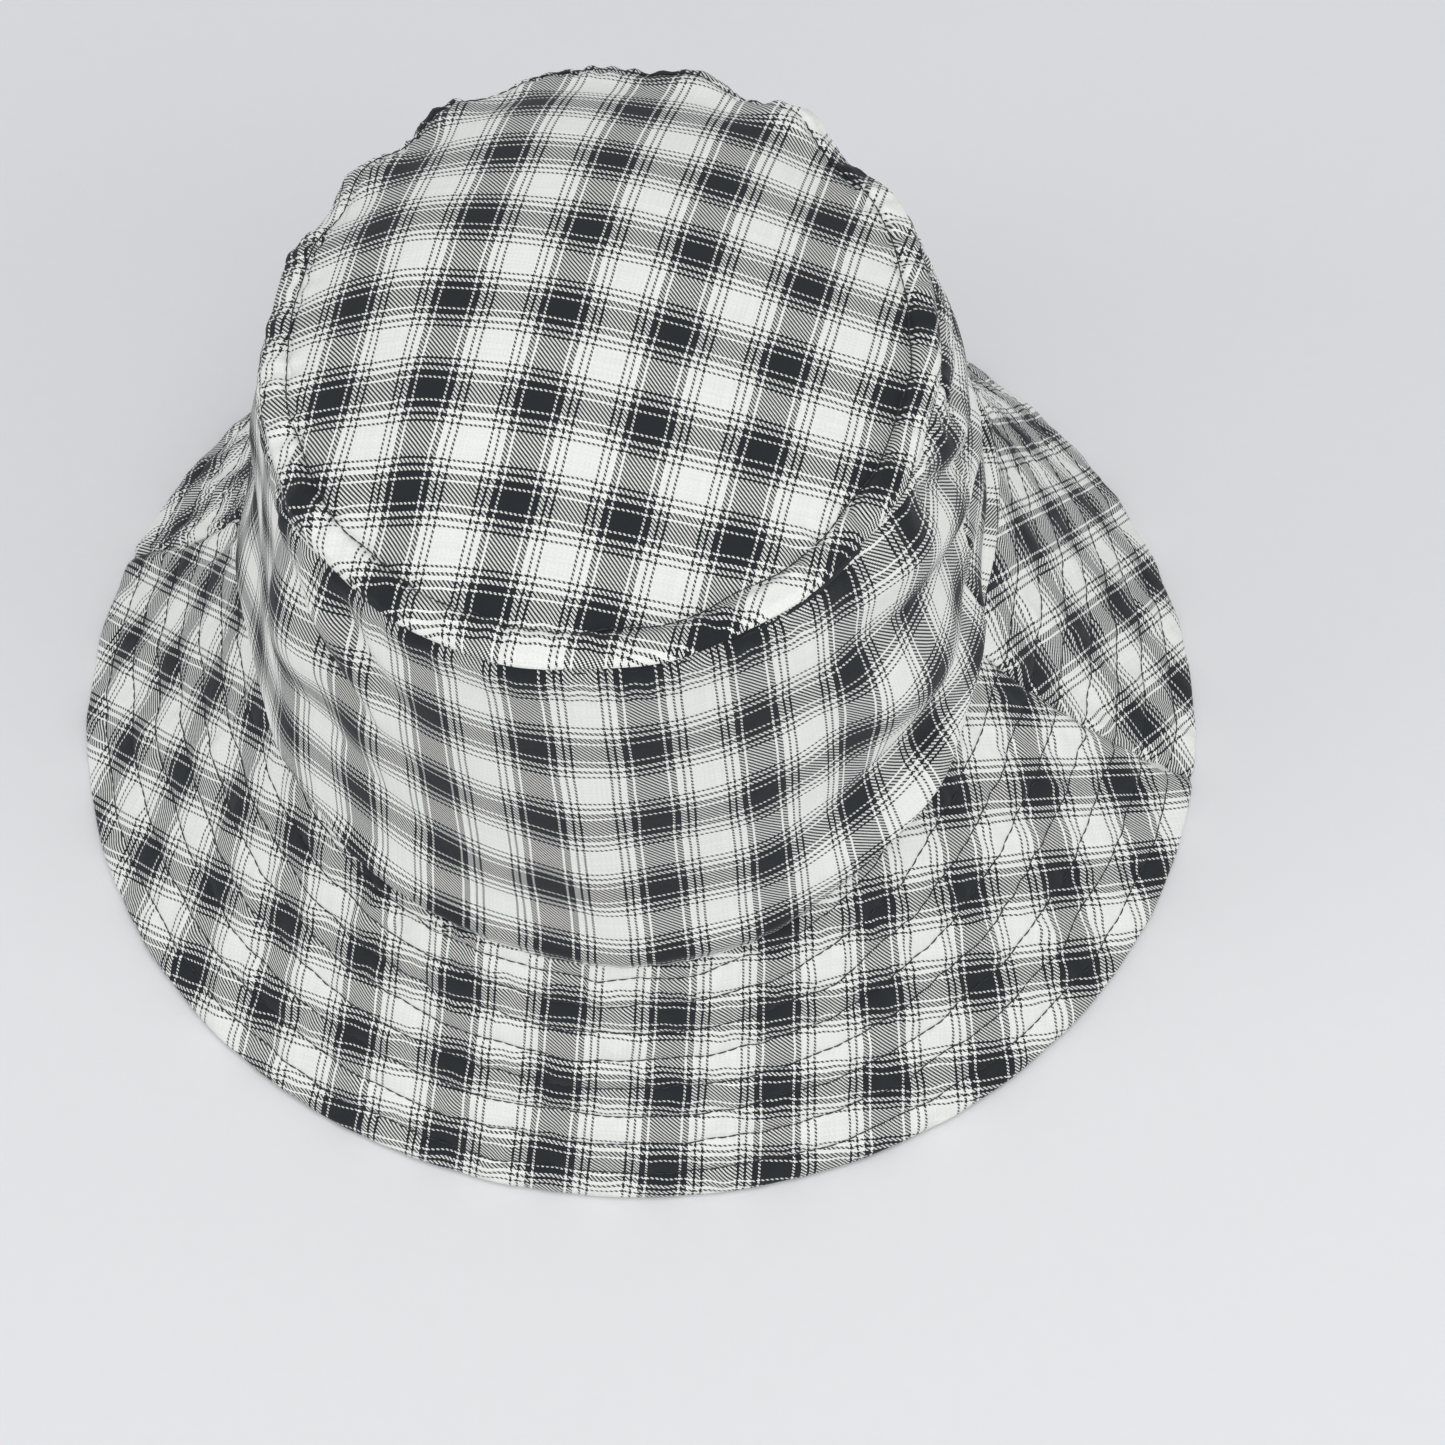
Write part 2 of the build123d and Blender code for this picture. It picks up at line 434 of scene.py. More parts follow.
THREAD_SIDES = 5
THREAD_RINGS = 6
THREAD_RADIUS = 0.18
THREAD_RISE = 0.12              # the thread is pulled down into the cloth only this far short
STITCH = 2.6
LINE_STEPS = 1600               # along a whole stitch line


def tube(path, radius):
    """Vertices of a round thread along a short path, with its own radius at each point."""
    ahead = np.gradient(path, axis=0)
    ahead /= np.linalg.norm(ahead, axis=1, keepdims=True)
    side = np.cross(ahead, [0, 0, 1.0])
    side /= np.linalg.norm(side, axis=1, keepdims=True)
    up = np.cross(side, ahead)
    angle = np.arange(THREAD_SIDES) / THREAD_SIDES * FULL
    ring = side[:, None] * np.cos(angle)[:, None] + up[:, None] * np.sin(angle)[:, None]
    return (path[:, None] + ring * radius[:, None, None]).reshape(-1, 3)


def thread_row(name, line, outward, material):
    """Separate lockstitches along a closed line; each dips into the cloth at both ends."""
    step = np.linalg.norm(np.roll(line, -1, 0) - line, axis=1)
    at = np.concatenate([[0], np.cumsum(step)])
    closed = np.concatenate([line, line[:1]])
    closed_out = np.concatenate([outward, outward[:1]])
    count = int(round(at[-1] / STITCH))
    share = np.linspace(0.04, 0.96, THREAD_RINGS)
    arch = np.sin(np.pi * share)
    rise = arch ** 0.6 * THREAD_RADIUS * 1.3 - THREAD_RADIUS * 0.9 + THREAD_RISE
    vertices, faces, ends = [], [], []
    for i in range(count):
        where = (i + share) / count * at[-1]
        path = np.stack([np.interp(where, at, closed[:, k]) for k in range(3)], -1)
        out = np.stack([np.interp(where, at, closed_out[:, k]) for k in range(3)], -1)
        start = len(vertices) * THREAD_RINGS * THREAD_SIDES
        vertices.append(tube(path + out * rise[:, None], THREAD_RADIUS * (0.55 + 0.45 * arch)))
        faces.append(grid_faces(THREAD_RINGS, THREAD_SIDES, True, start))
        base = start + np.arange(THREAD_SIDES)
        ends += [base[::-1].tolist(), (base + (THREAD_RINGS - 1) * THREAD_SIDES).tolist()]
    faces = np.concatenate(faces).tolist() + ends
    return to_object(name, np.concatenate(vertices), faces, None, [material])


# Materials

class Nodes:
    """Shorthand for building a material's node tree."""

    def __init__(self, name):
        self.material = bpy.data.materials.new(name)
        self.material.use_nodes = True
        self.tree = self.material.node_tree
        self.shader = next(n for n in self.tree.nodes if n.type == "BSDF_PRINCIPLED")

    def put(self, target, value):
        if isinstance(value, bpy.types.NodeSocket):
            self.tree.links.new(value, target)
        else:
            target.default_value = value

    def math(self, operation, *values):
        node = self.tree.nodes.new("ShaderNodeMath")
        node.operation = operation
        for i, value in enumerate(values):
            self.put(node.inputs[i], value)
        return node.outputs[0]

    def add(self, kind, output=0, settings=None, **inputs):
        node = self.tree.nodes.new(kind)
        for key, value in (settings or {}).items():
            setattr(node, key, value)
        for key, value in inputs.items():
            self.put(node.inputs[key.replace("_", " ")], value)
        return node.outputs[output]

    def mix(self, share, a, b, blend="MIX"):
        node = self.tree.nodes.new("ShaderNodeMix")
        node.data_type = "RGBA"
        node.blend_type = blend
        self.put(node.inputs[0], share)
        self.put(node.inputs[6], a)
        self.put(node.inputs[7], b)
        return node.outputs[2]

    def steps(self, value, edges):
        """Ramp that starts at 0 and switches between 0 and 1 at each edge."""
        node = self.tree.nodes.new("ShaderNodeValToRGB")
        ramp = node.color_ramp
        ramp.interpolation = "CONSTANT"
        level = 0.0
        ramp.elements[0].position = 0
        ramp.elements[0].color = (level, level, level, 1)
        ramp.elements.remove(ramp.elements[1])
        for edge in edges:
            level = 1 - level
            element = ramp.elements.new(edge)
            element.color = (level, level, level, 1)
        self.put(node.inputs[0], value)
        return node.outputs[0]

    def finish(self, colour, roughness, height, distance, strength, sheen=0.0):
        self.put(self.shader.inputs["Base Color"], colour)
        self.put(self.shader.inputs["Roughness"], roughness)
        self.shader.inputs["Specular IOR Level"].default_value = 0.25
        self.shader.inputs["Sheen Weight"].default_value = sheen
        self.shader.inputs["Sheen Roughness"].default_value = 0.5
        bump = self.add("ShaderNodeBump", Height=height)
        bump.node.inputs["Distance"].default_value = distance
        bump.node.inputs["Strength"].default_value = strength
        self.put(self.shader.inputs["Normal"], bump)
        return self.material


def linear(r, g, b):
    """Linear colour for screen values from 0 to 255."""
    def one(c):
        c /= 255
        return c / 12.92 if c <= 0.04045 else ((c + 0.055) / 1.055) ** 2.4
    return (one(r), one(g), one(b), 1)


OFF_WHITE = linear(243, 243, 238)
NEAR_BLACK = linear(33, 37, 41)

# Half of the check's symmetric stripe order, as shares of half a repeat from the dark band's
# middle. White and dark take turns at each edge.
WARP_EDGES = (0.275, 0.318, 0.425, 0.525, 0.565, 0.665, 0.705)
WEFT_EDGES = (0.205, 0.255, 0.375, 0.475, 0.535, 0.615, 0.66)

# How light the yarns are, with painted shade on their rounded sides and dipped ends: a change and
# what it starts from, as shares of their colour
TONE = (0.10, 0.90)             # from yarn to yarn
ROUNDED_PAINTED_SHADE = (0.16, 0.86)          # painted shade, from a yarn's sides to its middle line
DIPPED_PAINTED_SHADE = (-0.12, 1.02)          # painted shade, from the middle of its length to its ends
FUZZ = (0.12, 0.94)             # fine unevenness
GAP_ASIDE = 0.50                # how much of a dark yarn shows beside a white one
GAP_END = 0.20                  # and at its ends
GAP_MOST = 0.85


def plaid_material(name, seed):
    """Yarn-dyed check in a two-up two-down twill, drawn yarn by yarn in cloth coordinates, with
    painted shade on each yarn's rounded sides and dipped ends.
    """
    n = Nodes(name)
    place = n.add("ShaderNodeUVMap", settings={"uv_map": "UVMap"})
    # no yarn is quite straight
    drift = n.add("ShaderNodeVectorMath", settings={"operation": "MULTIPLY_ADD"})
    source = n.add("ShaderNodeTexNoise", output=1, settings={"noise_dimensions": "2D"},
                   Vector=place, Scale=1.3, Detail=2.0)
    n.put(drift.node.inputs[0], source)
    drift.node.inputs[1].default_value = (0.03, 0.03, 0)
    n.put(drift.node.inputs[2], place)
    split = n.add("ShaderNodeSeparateXYZ", Vector=drift).node
    # for warp and weft: the yarn's number, the place across it and its stripe's brightness
    index, within, band = [], [], []
    for axis, edges in zip(split.outputs, (WARP_EDGES, WEFT_EDGES)):
        scaled = n.math("MULTIPLY", axis, float(YARNS))
        yarn = n.math("FLOOR", scaled)
        index.append(yarn)
        within.append(n.math("SUBTRACT", scaled, yarn))
        middle = n.math("DIVIDE", n.math("ADD", yarn, 0.5), float(YARNS))
        away = n.math("MULTIPLY", n.math("PINGPONG", middle, 0.5), 2.0)
        band.append(n.steps(away, edges))
    diagonal = n.math("FLOORED_MODULO", n.math("SUBTRACT", index[0], index[1]), 4.0)
    warp_up = n.math("LESS_THAN", diagonal, 1.5)
    bright = n.mix(warp_up, band[1], band[0])
    tone = [n.add("ShaderNodeTexWhiteNoise", settings={"noise_dimensions": "1D"},
                  W=n.math("ADD", index[k], float(seed + 7 * k))) for k in (0, 1)]
    tone_and_painted_shade = n.math("MULTIPLY_ADD", n.mix(warp_up, tone[1], tone[0]), *TONE)
    # painted shade on rounded yarns: darker away from the upper yarn's middle line, and towards the
    # ends where it dips
    across = n.mix(warp_up, within[1], within[0])
    aside = n.math("ABSOLUTE", n.math("MULTIPLY_ADD", across, 2.0, -1.0))
    warp_along = n.math("SUBTRACT", n.math("ADD", 1.0, within[1]), diagonal)
    weft_along = n.math("SUBTRACT", n.math("ADD", diagonal, within[0]), 2.0)
    along = n.mix(warp_up, weft_along, warp_along)
    dip = n.math("POWER", n.math("ABSOLUTE", n.math("SUBTRACT", along, 1.0)), 4.0)
    round_up = n.math("SUBTRACT", 1.0, n.math("POWER", aside, 2.0))
    tone_and_painted_shade = n.math("MULTIPLY", tone_and_painted_shade, n.math("MULTIPLY_ADD", round_up, *ROUNDED_PAINTED_SHADE))
    tone_and_painted_shade = n.math("MULTIPLY", tone_and_painted_shade, n.math("MULTIPLY_ADD", dip, *DIPPED_PAINTED_SHADE))
    # a dark yarn underneath shows in the gaps round a white one
    under = n.math("SUBTRACT", 1.0, n.mix(warp_up, band[0], band[1]))
    gap = n.math("MULTIPLY_ADD", n.math("POWER", aside, 3.0), GAP_ASIDE,
                 n.math("MULTIPLY", dip, GAP_END))
    gap = n.math("MULTIPLY", n.math("MINIMUM", gap, GAP_MOST), under)
    bright = n.math("MULTIPLY", bright, n.math("MULTIPLY_ADD", gap, -1.0, 1.0))
    fuzz = n.add("ShaderNodeTexNoise", settings={"noise_dimensions": "2D"},
                 Vector=place, Scale=90.0, Detail=3.0)
    tone_and_painted_shade = n.math("MULTIPLY", tone_and_painted_shade, n.math("MULTIPLY_ADD", fuzz, *FUZZ))
    colour = n.mix(bright, NEAR_BLACK, OFF_WHITE)
    colour = n.mix(1.0, colour, tone_and_painted_shade, "MULTIPLY")
    crinkle = n.add("ShaderNodeTexNoise", settings={"noise_dimensions": "2D"},
                    Vector=place, Scale=7.0, Detail=3.0)
    height = n.math("MULTIPLY_ADD", round_up, 0.12, crinkle)
    return n.finish(colour, 0.88, height, 0.0005, 0.5, sheen=0.08)


def plain_material(name, colour, scale, roughness=0.85, sheen=0.05, weave=(1.0, 1.0)):
    """Plain woven cloth of one colour, with its threads as bumps and as painted shade, and slight
    unevenness.
    """
    n = Nodes(name)
    place = n.add("ShaderNodeTexCoord", output=3)
    stretched = n.add("ShaderNodeMapping", Vector=place)
    stretched.node.inputs["Scale"].default_value = (scale * weave[0], scale, scale * weave[1])
    threads = n.add("ShaderNodeTexWave", output=1, Vector=stretched, Scale=1.0, Distortion=0.6)
    cross = n.add("ShaderNodeTexWave", output=1, settings={"bands_direction": "Z"},
                  Vector=stretched, Scale=1.0, Distortion=0.6)
    weave_height = n.math("MULTIPLY", n.math("ADD", threads, cross), 0.5)
    uneven = n.add("ShaderNodeTexNoise", Vector=place, Scale=60.0, Detail=4.0)
    # the colour is darker where the weave is low (painted shade between the threads) and varies with
    # slight unevenness
    level = n.math("MULTIPLY_ADD", weave_height, 0.25,
                   n.math("MULTIPLY_ADD", uneven, 0.3, 0.6))
    tint = n.mix(1.0, colour, level, "MULTIPLY")
    return n.finish(tint, roughness, weave_height, 0.0002, 0.4, sheen=sheen)


def thread_material(name, colour):
    """Twisted sewing thread, with painted shade in the grooves of its twist."""
    n = Nodes(name)
    place = n.add("ShaderNodeTexCoord", output=3)
    twist = n.add("ShaderNodeTexWave", output=1, settings={"bands_direction": "DIAGONAL"},
                  Vector=place, Scale=900.0, Distortion=1.0)
    # the colour follows the twist's height: painted shade in its grooves, lighter on its ridges
    tint = n.mix(1.0, colour, n.math("MULTIPLY_ADD", twist, 0.4, 0.8), "MULTIPLY")
    return n.finish(tint, 0.7, twist, 0.0001, 0.5)


plaid = plaid_material("plaid_cloth", 3)
lining_cloth = plain_material("lining_cloth", linear(48, 51, 55), 2500.0)
interlining = plain_material("interlining", linear(228, 226, 220), 900.0)
band_cloth = plain_material("sweatband_cloth", linear(38, 41, 44), 1500.0, weave=(1.0, 0.5))
thread = thread_material("thread", linear(54, 56, 60))
label_tape = plain_material("label_tape", linear(236, 235, 230), 2200.0, roughness=0.55)


# Crown wall

SIM_COLUMNS = 216               # both panels together
SIM_ROWS = 44
SIM_SCALE = 0.01                # the simulation runs ten times full size
SIM_FRAMES = 24
COTTON = {"shrink_min": -0.012, "quality": 7, "mass": 0.15, "tension_stiffness": 30.0,
          "compression_stiffness": 30.0, "shear_stiffness": 8.0, "bending_stiffness": 6.0,
          "tension_damping": 15.0, "compression_damping": 15.0, "bending_damping": 4.0,
          "air_damping": 3.0}
CONTACT = {"use_collision": True, "distance_min": 0.004, "use_self_collision": True,
           "self_distance_min": 0.006, "self_friction": 5.0}
FORM_ROWS = 24                  # the form inside the crown
FORM_INSET = 1.2
SHELF_ROWS = 16                 # the brim that its folds lie on
SHELF_REACH = (0.6, -0.05)
SHELF_INSET = 0.3
SOFTENING = 5
FINER = 3
FRONT_AT = 266.0                # degrees: the smooth front, between the folds on both sides
SEAM_REACH = 110                # mm from the hat's middle to its side seams, about


def seam_valley(theta, width):
    """1 on a side seam, falling to 0 over a width in mm to both sides."""
    nearest = np.minimum(abs(turned(theta, RIGHT_AT)), abs(turned(theta, LEFT_AT))) * SEAM_REACH
    return np.exp(-(nearest / width) ** 2)


def fold_valleys(theta):
    """Where the two valleys between the crown's folds run, as shares of the wall's height."""
    right = np.degrees(turned(theta, FRONT_AT))
    left = -right
    low_left = 0.26 + 0.15 * smooth(left, 15, 45)
    high_left = 0.50 + 0.38 * smooth(left, 24, 58)
    low_right = 0.30
    high_right = 0.77 - 0.28 * smooth(right, 40, 92)
    side = smooth(right, -12, 12)
    behind = smooth(abs(right), 100, 150)
    low = between(between(low_left, low_right, side), 0.36, behind)
    high = between(between(high_left, high_right, side), 0.72, behind)
    return low, high


def first_folds(theta, share):
    """The crown wall before it settles: soft folds that climb from the front to the back."""
    points = crown_point(theta, share)
    out = normals(points, True)
    height = np.linalg.norm(crown_point(theta, 1 + 0 * share)
                            - crown_point(theta, 0 * share), axis=-1)
    right = np.degrees(turned(theta, FRONT_AT))
    low, high = fold_valleys(theta)
    low = low + 0.012 * waves(theta, 11, 2, 7, 5)
    high = high + 0.008 * waves(theta, 12, 2, 6, 5)
    place = (share - low) / (high - low)
    # the folds are full at the sides and the back, with two weak spots at the left
    size = 0.25 * (high - low) * height
    size = size * np.maximum(smooth(-right, 18, 58), 0.85 * smooth(right, 22, 62))
    size = size * (1 + 0.10 * waves(theta, 13, 1, 6, 6, share, 5.0))
    size = size * (1 - 0.5 * near(theta, 184, 0.6))
    size = size * (1 - 0.6 * near(theta, 209, 0.3) * (place < 0))
    flat_top = 0.16 + 0.25 * smooth(abs(right), 90, 140)
    window = smooth(share, 0.0, 0.07) * smooth(1 - share, 0.0, flat_top)
    puff = 2.4 * smooth(share, 0.0, 0.05) * smooth(1 - share, 0.0, 0.5)
    puff = puff * (1 - 0.8 * near(theta, 335, 0.6))
    lift = window * size * abs(np.sin(math.pi * place)) ** 1.3 + puff
    lift += 0.25 * window * waves(theta, 14, 5, 16, 10, share, 22.0)
    return points + out * lift[..., None]


def sim_object(name, points):
    """A wrapped grid at the simulation's scale."""
    rows, columns = points.shape[:2]
    return to_object(name, (points * SIM_SCALE / MM).reshape(-1, 3),
                     grid_faces(rows, columns, True))


def collider(name, points, inset):
    body = sim_object(name, points - normals(points, True) * inset)
    body.modifiers.new("collision", "COLLISION")
    body.collision.thickness_outer = CONTACT["distance_min"]
    body.collision.cloth_friction = 12.0
    return body


def softened(field):
    """A field on the crown's grid without its finest wrinkles."""
    for _ in range(SOFTENING):
        field = (np.roll(field, 1, 1) + 2 * field + np.roll(field, -1, 1)) / 4
        ends = np.concatenate([field[:1], field, field[-1:]])
        field = (ends[:-2] + 2 * ends[1:-1] + ends[2:]) / 4
    return field


def settle(points, theta):
    """Cloth simulation of the crown wall, sewn down at both seams over the form inside it."""
    cloth = sim_object("settling", points)
    sewn = cloth.vertex_groups.new(name="sewn")
    sewn.add(list(range(SIM_COLUMNS)), 1.0, "REPLACE")
    sewn.add(list(range(SIM_COLUMNS * (SIM_ROWS - 1), SIM_COLUMNS * SIM_ROWS)), 1.0, "REPLACE")
    modifier = cloth.modifiers.new("cloth", "CLOTH")
    modifier.settings.vertex_group_mass = "sewn"
    for key, value in COTTON.items():
        setattr(modifier.settings, key, value)
    for key, value in CONTACT.items():
        setattr(modifier.collision_settings, key, value)
    coarse = theta[0, ::3]
    form = collider("form", crown_point(*np.meshgrid(coarse, np.linspace(0, 1, FORM_ROWS))),
                    FORM_INSET)
    shelf = collider("shelf", brim_point(*np.meshgrid(coarse, np.linspace(*SHELF_REACH, SHELF_ROWS))),
                     SHELF_INSET)
    scene = bpy.context.scene
    for number in range(1, SIM_FRAMES + 1):
        scene.frame_set(number)
    settled = cloth.evaluated_get(bpy.context.evaluated_depsgraph_get())
    flat = np.zeros(len(settled.data.vertices) * 3, np.float32)
    settled.data.vertices.foreach_get("co", flat)
    scene.frame_set(1)
    for used in (cloth, form, shelf):
        bpy.data.objects.remove(used)
    return flat.reshape(points.shape).astype(float) / SIM_SCALE


def finer(points, axis, wrap):
    """Catmull-Rom interpolation of a grid along one axis, FINER times as many steps."""
    grid = np.moveaxis(points, axis, 0)
    if wrap:
        padded = np.concatenate([grid[-1:], grid, grid[:2]])
        spans = len(grid)
    else:
        padded = np.concatenate([2 * grid[:1] - grid[1:2], grid, 2 * grid[-1:] - grid[-2:-1]])
        spans = len(grid) - 1
    p0, p1, p2, p3 = (padded[i:i + spans] for i in range(4))
    parts = []
    for step in range(FINER):
        t = step / FINER
        parts.append(0.5 * (2 * p1 + (p2 - p0) * t + (2 * p0 - 5 * p1 + 4 * p2 - p3) * t**2
                            + (3 * p1 - p0 - 3 * p2 + p3) * t**3))
    result = np.stack(parts, 1).reshape((spans * FINER,) + grid.shape[1:])
    if not wrap:
        result = np.concatenate([result, grid[-1:]])
    return np.moveaxis(result, 0, axis)


def crown_wall():
    """The crown wall's grid: rows up, columns from the left side seam round."""
    theta, share = closed_grid(SIM_COLUMNS, np.linspace(0, 1, SIM_ROWS))
    theta = crept(theta, -share)
    points = first_folds(theta, share)
    points = points + softened(settle(points, theta) - points)
    points = finer(finer(points, 0, False), 1, True)
    rows, columns = points.shape[:2]
    theta, share = closed_grid(columns, np.linspace(0, 1, rows))
    # puckers and a roll under the top seam, puckers over the brim, and the side seams
    lift = 0.22 * smooth(share, 0.86, 0.95) * smooth(1 - share, 0.0, 0.04) \
        * waves(theta, 15, 40, 95, 8)
    lift += 0.5 * smooth(share, 0.88, 0.96) - 1.3 * smooth(share, 0.965, 1.0)
    lift += 0.15 * smooth(1 - share, 0.93, 1.0) * waves(theta, 16, 50, 110, 8)
    lift += 0.4 * seam_valley(theta, 4.0) - 0.9 * seam_valley(theta, 1.3)
    return points + normals(points, True) * lift[..., None] + rim_push(theta, wall_reach(share))


pieces = {}                     # by the CAD node that each stands for
wall = crown_wall()
rows, columns = wall.shape[:2]
for half in HALVES:
    angle, share = np.meshgrid(half_angles(columns, half), np.linspace(0, 1, rows))
    uvs = crown_cloth(crept(angle, -share), share, CROWN_PANELS[half])
    node = f"crown_side_{half}"
    pieces[node] = shell(f"{node}_cloth", wall[:, half_columns(columns, half)], uvs, PLY, plaid)


# Top panel

TIP_RINGS = 110
TIP_COLUMNS = 420
RIM_FROM = 0.86                 # a quarter of the rings lie between this radius and the seam


def tip_surface(rings, columns, sink=0.0):
    """The top panel as a grid: rows from its seam inward to the middle."""
    theta, radius = closed_grid(columns, np.concatenate([
        np.linspace(1, RIM_FROM, rings // 4, endpoint=False),
        np.linspace(RIM_FROM, 0.004, rings - rings // 4)]))
    points = tip_point(theta, radius)
    ridge = 1.5 * smooth(radius, TIP_ROW - 0.01, TIP_ROW + 0.03) * smooth(1 - radius, 0.0, 0.018)
    groove = -0.35 * np.exp(-((radius - TIP_ROW) / 0.008) ** 2)
    pucker = 0.26 * smooth(radius, 0.82, 0.93) * smooth(1 - radius, -0.004, 0.03) \
        * waves(theta, 21, 40, 95, 8, radius, 20.0)
    # a faint crease at the left, and soft unevenness all over
    x = radius * np.cos(theta)
    y = radius * np.sin(theta)
    crease = np.exp(-((x + 0.52 + 0.1 * y) / 0.10) ** 2) * smooth(0.95 - radius, 0, 0.3) \
        * smooth(-y, -0.6, 0.3)
    uneven = 0.5 * waves(theta, 22, 2, 7, 6, radius, 9.0) * radius * smooth(1 - radius, 0, 0.15)
    lift = ridge + groove + pucker + crease + uneven + back_roll(theta, radius) - sink
    points = points + normals(points, True) * lift[..., None]
    return theta, radius, points + rim_push(theta, tip_reach(radius))


pieces["crown_tip"] = domed_shell("crown_tip_cloth", *tip_surface(TIP_RINGS, TIP_COLUMNS),
                                  PLY, plaid)


# Lining: the crown's shape again, a little smaller

LINING_COLUMNS = 240
LINING_ROWS = 41
LINING_INSET = 1.3
LINING_TIP_RINGS = 48
LINING_TIP_COLUMNS = 180


def lining_wall():
    """The lining's grid: rows up, columns from the left side seam round."""
    theta, share = closed_grid(LINING_COLUMNS, np.linspace(0, 1, LINING_ROWS))
    points = crown_point(theta, share)
    slack = 0.35 * waves(theta, 31, 6, 24, 10, share, 20.0) * smooth(share, 0, 0.15) \
        * smooth(1 - share, 0, 0.15)
    points = points - normals(points, True) * (LINING_INSET - slack)[..., None]
    return points + rim_push(theta, wall_reach(share))


lining = lining_wall()
for half in HALVES:
    part = lining[:, half_columns(LINING_COLUMNS, half)]
    node = f"lining_side_{half}"
    pieces[node] = shell(f"{node}_cloth", part, plain_uvs(part), LINING_PLY, lining_cloth)
theta, radius, points = tip_surface(LINING_TIP_RINGS, LINING_TIP_COLUMNS, sink=1.6)
pieces["lining_tip"] = domed_shell("lining_tip_cloth", theta, radius * 0.975, points - TIP_UP * 0.2,
                                   LINING_PLY, lining_cloth)


# Sweatband

BAND_COLUMNS = 300
BAND_ROWS = 30
BAND_INSET = 2.35


def sweatband():
    """A band on the crown's shape, with rounded edges."""
    theta, share = closed_grid(BAND_COLUMNS, np.linspace(0, BAND_TOP, BAND_ROWS))
    points = crown_point(theta, share)
    ease = 0.12 * waves(theta, 41, 8, 30, 8, share, 12.0)
    edge_round = 0.25 * (1 - smooth(share, 0, 0.01) * smooth(BAND_TOP - share, 0, 0.01))
    points = points - normals(points, True) * (BAND_INSET + ease + edge_round)[..., None]
    return shell("sweatband_cloth", points, np.stack([theta, share], -1), BAND_PLY, band_cloth,
                 wrap=True)


pieces["sweatband"] = sweatband()


# Brim

ROW_AT = np.linspace(ROW_SHARE[0], ROW_SHARE[1], ROWS)
BRIM_GRID = (840, 12)           # columns round, and rows to a channel between stitch lines
UNDER_GRID = (500, 8)
CORE_COLUMNS = 240
CORE_ROWS = 30
CORE_END = 0.97
CORE_INSET = 0.85
EDGE_SHARE = 0.984              # where the top cloth starts to turn round the edge
UNDER_SHARE = 0.976
UNDER_INSET = 2.3
UNDER_PUFF = -0.7               # the under cloth's channels are shallower and puff down
TURN_ROWS = 6
TURN_END = 150                  # degrees that the top cloth turns
EDGE_RADIUS = 1.15
BRIM_WIDTH = 80                 # mm, about


def row_wander(theta, row):
    """How far a stitch line strays, as a share of the brim's width."""
    return 0.004 * waves(theta, 50 + row, 6, 30, 8) + 0.0012 * waves(theta, 70 + row, 60, 110, 6)


def brim_waves(theta, share):
    """Soft puckers that run on across the stitch lines, and the side seams, in mm."""
    drawn = 0.24 * waves(theta, 48, 22, 50, 12, share, 22.0) \
        + 0.07 * waves(theta, 49, 60, 110, 12, share, 40.0)
    hold = smooth(share, 0.0, 0.08) * (1 - 0.4 * smooth(share, 0.9, 1.0))
    return drawn * hold + 0.5 * seam_valley(theta, 4.0) - 1.1 * seam_valley(theta, 1.4)


def channel(theta, across, row):
    """The puffed channel between two stitch lines; across runs from 0 to 1 over it, in mm."""
    arch = 4 * across * (1 - across)
    size = 0.50 + 0.14 * waves(theta, 90 + row, 20, 60, 8)
    draw = waves(theta, 110 + row, 60, 140, 10, across, 4.0)
    return arch ** 0.7 * size + 0.18 * draw * arch ** 0.5


def brim_surface(columns, channel_rows, end):
    """The brim's grid, whose rows follow the stitch lines from its end up.

    It gives the angles, the shares, the channels' relief and the height over the plain brim.
    """
    theta = LEFT_SEAM + np.arange(columns) / columns * FULL
    lines = [0 * theta] + [ROW_AT[k] + row_wander(theta, k) for k in range(ROWS)]
    lines.append(0 * theta + end)
    steps = (1 + np.cos(np.pi * np.arange(channel_rows) / channel_rows)) / 2
    shares, reliefs = [], []
    for row in range(ROWS, -1, -1):
        for across in np.append(steps, 0.0) if row == 0 else steps:
            shares.append(between(lines[row], lines[row + 1], across))
            reliefs.append(channel(theta, across, row))
    share = np.stack(shares)
    relief = np.stack(reliefs)
    theta = theta + 0 * share
    return crept(theta, share), share, relief, relief + brim_waves(theta, share)


def brim_top():
    """The top cloth's shares and points, with its edge turned round onto the under cloth."""
    theta, share, _, lift = brim_surface(*BRIM_GRID, EDGE_SHARE)
    points = brim_point(theta, share) + brim_normal(theta) * lift[..., None]
    out = brim_normal(theta[0])
    down = points[0] - points[2]
    down -= out * (down * out).sum(-1, keepdims=True)
    down /= np.linalg.norm(down, axis=-1, keepdims=True)
    turn = np.radians(np.linspace(TURN_END, 0, TURN_ROWS, endpoint=False))[:, None]
    round_edge = out * (np.cos(turn) - 1)[..., None] + down * np.sin(turn)[..., None]
    points = np.concatenate([points[0] + round_edge * EDGE_RADIUS, points])
    turn_share = EDGE_SHARE + turn * EDGE_RADIUS / BRIM_WIDTH
    return np.concatenate([turn_share + 0 * theta[0], share]), points


def brim_under():
    """The under cloth's shares and points."""
    theta, share, relief, lift = brim_surface(*UNDER_GRID, UNDER_SHARE)
    lift = lift + (UNDER_PUFF - 1) * relief - UNDER_INSET
    return share, brim_point(theta, share) + brim_normal(theta) * lift[..., None]


